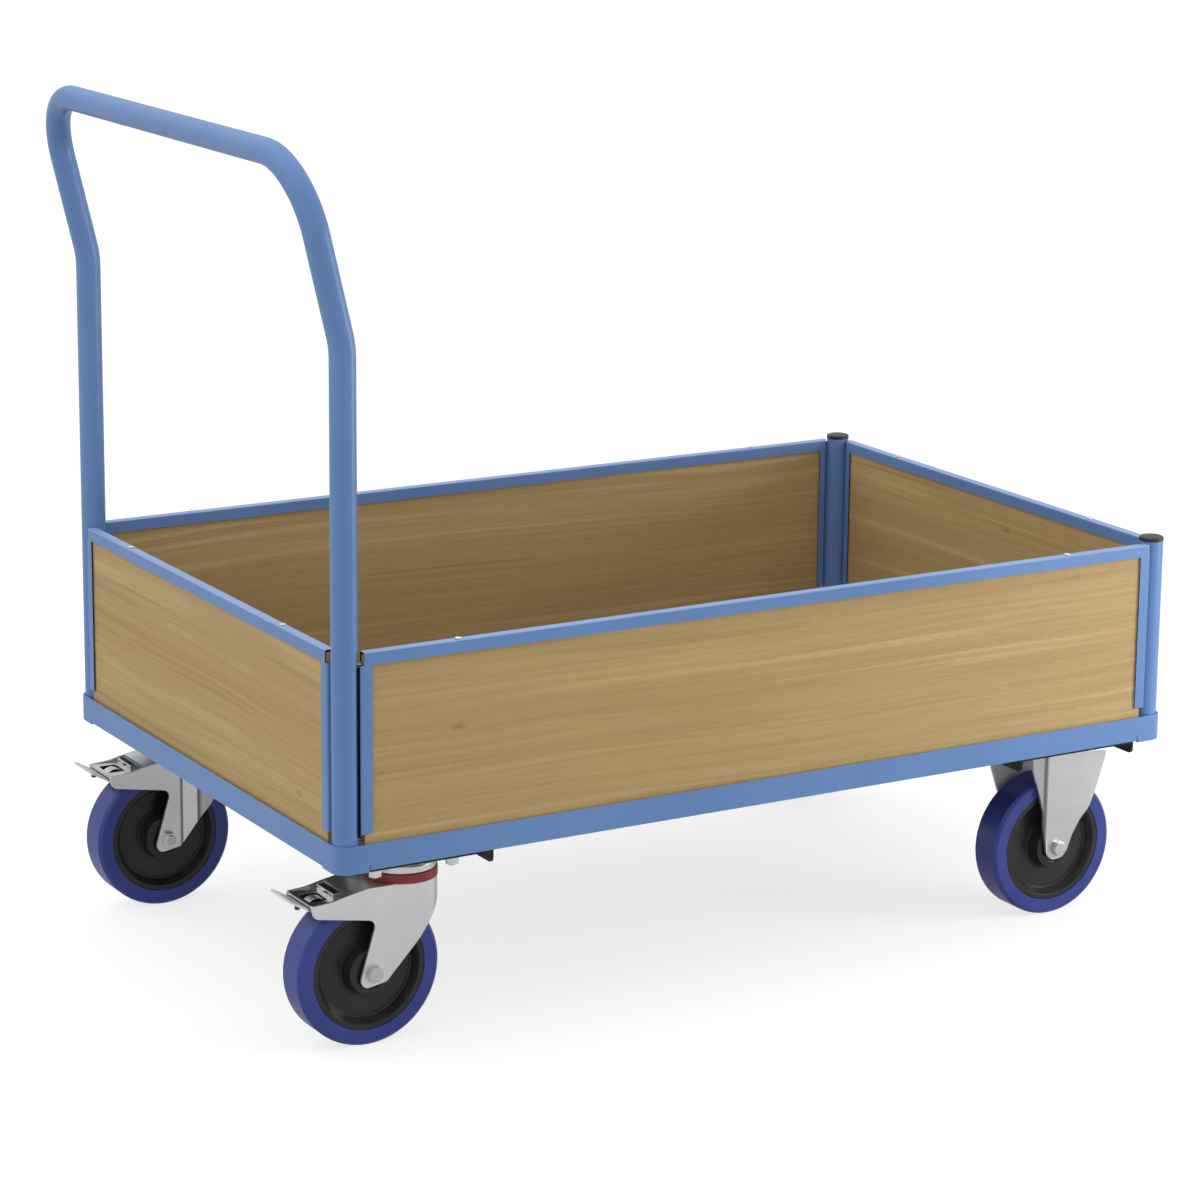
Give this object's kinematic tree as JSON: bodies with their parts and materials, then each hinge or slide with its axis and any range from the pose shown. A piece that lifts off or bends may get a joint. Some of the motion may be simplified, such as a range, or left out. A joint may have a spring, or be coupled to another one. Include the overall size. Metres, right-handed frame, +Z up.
{
  "type": "box platform trolley",
  "caption": "Push trolley with low timber walls round a load deck, a bent tube handle, braked swivel castors at the handle and fixed castors at the other end.",
  "frame": {"origin": "on the floor, under the middle of the whole trolley's box", "axes": "+X from the push handle towards the open end, +Y across the trolley, +Z up"},
  "size_m": [1.0726, 0.657, 0.9302],
  "materials": {
    "blue_paint": "satin powder coat",
    "beech": "matt sealed beech decor with a straight grain",
    "deck_board": "matt board",
    "black_steel": "satin dark coat",
    "zinc": "bright zinc plate, slightly clouded",
    "red_seal": "matt",
    "blue_tyre": "smooth elastic rubber",
    "black_rim": "satin moulded",
    "black_plastic": "satin moulded",
    "black_rubber": "matt"
  },
  "bodies": {
    "trolley": {"platform_frame": "blue_paint", "deck_board": "deck_board", "swivel_end_beam": "black_steel", "fixed_end_beam": "black_steel", "push_handle": "blue_paint", "near_corner_post": "blue_paint", "near_post_cap": "black_plastic", "far_corner_post": "blue_paint", "far_post_cap": "black_plastic", "near_wall_panel": "beech", "near_wall_trim": "blue_paint", "near_wall_screw_a": "zinc", "near_wall_screw_b": "zinc", "far_wall_panel": "beech", "far_wall_trim": "blue_paint", "far_wall_screw_a": "zinc", "far_wall_screw_b": "zinc", "handle_end_wall_panel": "beech", "handle_end_wall_trim": "blue_paint", "handle_end_wall_screw_a": "zinc", "handle_end_wall_screw_b": "zinc", "open_end_wall_panel": "beech", "open_end_wall_trim": "blue_paint", "open_end_wall_screw_a": "zinc", "open_end_wall_screw_b": "zinc", "near_swivel_top_plate": "zinc", "near_swivel_seal_ring": "red_seal", "near_swivel_king_bolt": "zinc", "near_fixed_fork": "zinc", "near_fixed_axle_bolt": "zinc", "near_fixed_axle_nut": "zinc", "far_swivel_top_plate": "zinc", "far_swivel_seal_ring": "red_seal", "far_swivel_king_bolt": "zinc", "far_fixed_fork": "zinc", "far_fixed_axle_bolt": "zinc", "far_fixed_axle_nut": "zinc"},
    "near_swivel_castor": {"near_swivel_fork": "zinc", "near_swivel_brake_plate": "zinc", "near_swivel_brake_pin": "zinc", "near_swivel_axle_bolt": "zinc", "near_swivel_axle_nut": "zinc"},
    "near_swivel_brake": {"near_swivel_brake_pedal": "zinc", "near_swivel_brake_shoe": "black_rubber"},
    "near_swivel_wheel": {"near_swivel_tyre": "blue_tyre", "near_swivel_rim": "black_rim"},
    "near_fixed_wheel": {"near_fixed_tyre": "blue_tyre", "near_fixed_rim": "black_rim"},
    "far_swivel_castor": {"far_swivel_fork": "zinc", "far_swivel_brake_plate": "zinc", "far_swivel_brake_pin": "zinc", "far_swivel_axle_bolt": "zinc", "far_swivel_axle_nut": "zinc"},
    "far_swivel_brake": {"far_swivel_brake_pedal": "zinc", "far_swivel_brake_shoe": "black_rubber"},
    "far_swivel_wheel": {"far_swivel_tyre": "blue_tyre", "far_swivel_rim": "black_rim"},
    "far_fixed_wheel": {"far_fixed_tyre": "blue_tyre", "far_fixed_rim": "black_rim"}
  },
  "joints": [
    {"name": "near_swivel_turn", "type": "hinge", "parent": "trolley", "child": "near_swivel_castor", "pos_m": [-0.386, -0.254, 0.171], "axis": [0, 0, 1], "continuous": true},
    {"name": "near_swivel_wheel_spin", "type": "hinge", "parent": "near_swivel_castor", "child": "near_swivel_wheel", "pos_m": [-0.4326, -0.254, 0.08], "axis": [0, 1, 0], "continuous": true},
    {"name": "near_swivel_brake_press", "type": "hinge", "parent": "near_swivel_castor", "child": "near_swivel_brake", "pos_m": [-0.456, -0.254, 0.1613], "axis": [0, -1, 0], "range_deg": [0, 9]},
    {"name": "near_fixed_wheel_spin", "type": "hinge", "parent": "trolley", "child": "near_fixed_wheel", "pos_m": [0.4285, -0.254, 0.08], "axis": [0, 1, 0], "continuous": true},
    {"name": "far_swivel_turn", "type": "hinge", "parent": "trolley", "child": "far_swivel_castor", "pos_m": [-0.386, 0.254, 0.171], "axis": [0, 0, 1], "continuous": true},
    {"name": "far_swivel_wheel_spin", "type": "hinge", "parent": "far_swivel_castor", "child": "far_swivel_wheel", "pos_m": [-0.4326, 0.254, 0.08], "axis": [0, 1, 0], "continuous": true},
    {"name": "far_swivel_brake_press", "type": "hinge", "parent": "far_swivel_castor", "child": "far_swivel_brake", "pos_m": [-0.456, 0.254, 0.1613], "axis": [0, -1, 0], "range_deg": [0, 9]},
    {"name": "far_fixed_wheel_spin", "type": "hinge", "parent": "trolley", "child": "far_fixed_wheel", "pos_m": [0.4285, 0.254, 0.08], "axis": [0, 1, 0], "continuous": true}
  ]
}
